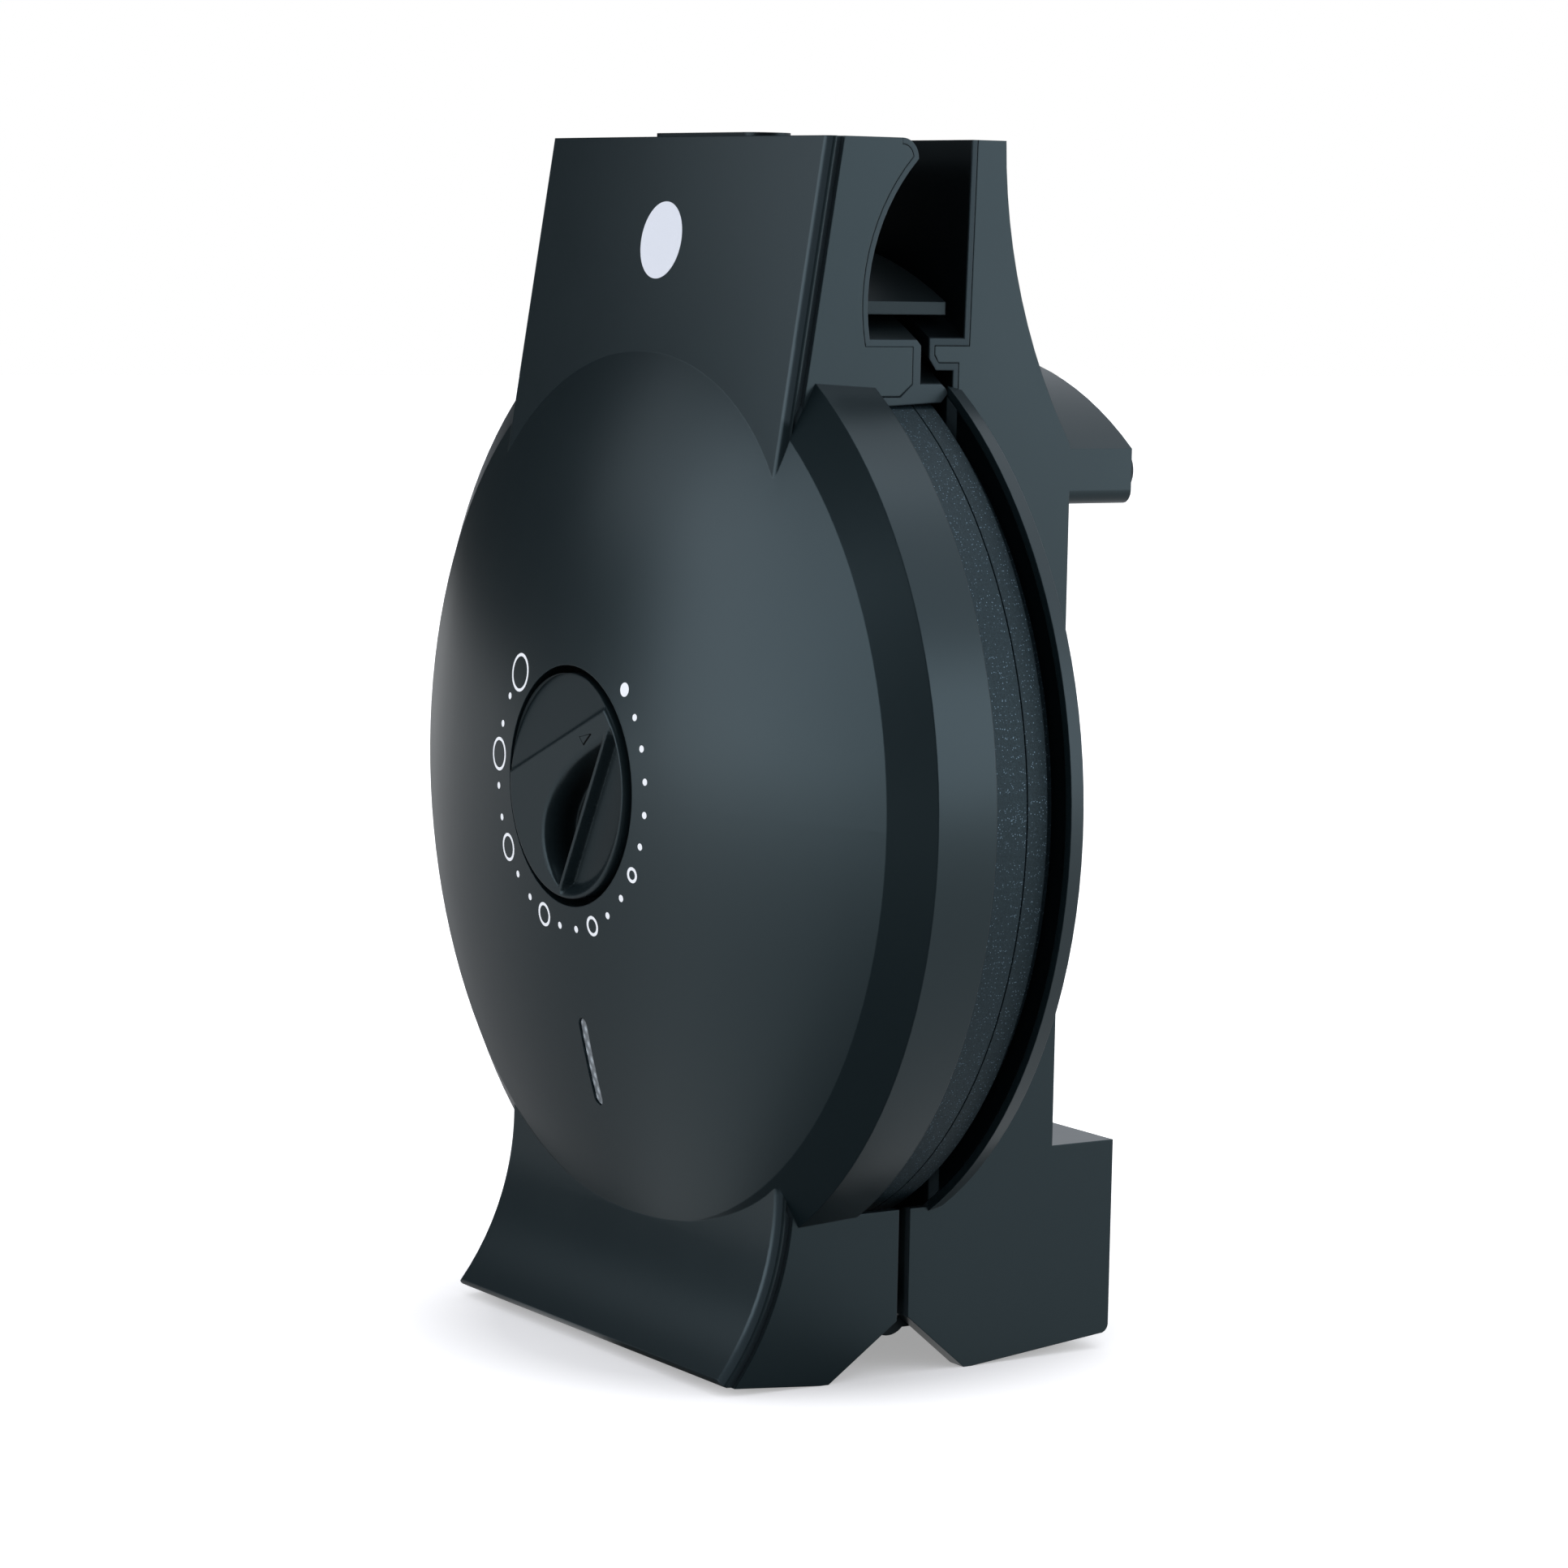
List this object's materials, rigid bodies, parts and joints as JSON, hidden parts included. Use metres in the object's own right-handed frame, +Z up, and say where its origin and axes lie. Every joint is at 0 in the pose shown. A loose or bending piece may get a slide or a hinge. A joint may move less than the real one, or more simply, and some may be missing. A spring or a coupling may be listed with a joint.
{
  "type": "electric krumkake iron",
  "caption": "Upright electric krumkake iron: two round hinged baking plates in a domed lid and a flat-backed base with handles, feet, a browning dial and an indicator window.",
  "frame": {"origin": "centre of the bounding box's underside, which is the plane that the closed iron stands on", "axes": "+X across the width, +Y from the domed lid to the flat back with the feet, +Z up from the hinge end to the handles"},
  "size_m": [0.209, 0.1098, 0.2618],
  "materials": {
    "shell_plastic": "fine-grained matt black with a cool tint",
    "frame_plastic": "fine-grained matt black",
    "knob_plastic": "smooth matt black",
    "gland_plastic": "matt black",
    "plate_metal": "cast aluminium with a granular black non-stick coating",
    "heater_metal": "heat-stained steel tube",
    "shield_metal": "bright rolled sheet",
    "screw_steel": "zinc-plated",
    "pin_steel": "ground",
    "pad_rubber": "soft dark grey",
    "lens_plastic": "frosted and ribbed, translucent",
    "lamp_glass": "clear with a warm tint",
    "ceramic": "unglazed steatite",
    "terminal_plastic": "off-white heat-resistant",
    "wire_sleeve": "silicone sleeve"
  },
  "bodies": {
    "base": {"base_shell": "shell_plastic", "base_frame": "frame_plastic", "base_screws": "screw_steel", "lower_plate": "plate_metal", "lower_plate_screws": "screw_steel", "lower_element": "heater_metal", "lower_heat_shield": "shield_metal", "hinge_pins": "pin_steel", "front_foot_pads": "pad_rubber", "rear_foot_pads": "pad_rubber", "cord_gland": "gland_plastic", "terminal_block": "terminal_plastic", "base_wiring": "wire_sleeve"},
    "lid": {"lid_shell": "shell_plastic", "lid_frame": "frame_plastic", "handle_end_pad": "gland_plastic", "lid_screws": "screw_steel", "upper_plate": "plate_metal", "upper_plate_screws": "screw_steel", "upper_element": "heater_metal", "upper_heat_shield": "shield_metal", "thermostat": "ceramic", "thermostat_bracket": "screw_steel", "indicator_lens": "lens_plastic", "indicator_lamp": "lamp_glass", "lamp_holder": "terminal_plastic", "lid_wiring": "wire_sleeve"},
    "dial": {"dial_knob": "knob_plastic", "dial_shaft": "pin_steel", "knob_clip": "screw_steel"}
  },
  "joints": [
    {"name": "lid_hinge", "type": "hinge", "parent": "base", "child": "lid", "pos_m": [0, -0.0028, 0.0125], "axis": [1, 0, 0], "range_deg": [0, 100]},
    {"name": "dial_turn", "type": "hinge", "parent": "lid", "child": "dial", "pos_m": [0, -0.0535, 0.1224], "axis": [0, 1, 0], "range_deg": [0, 270]}
  ]
}
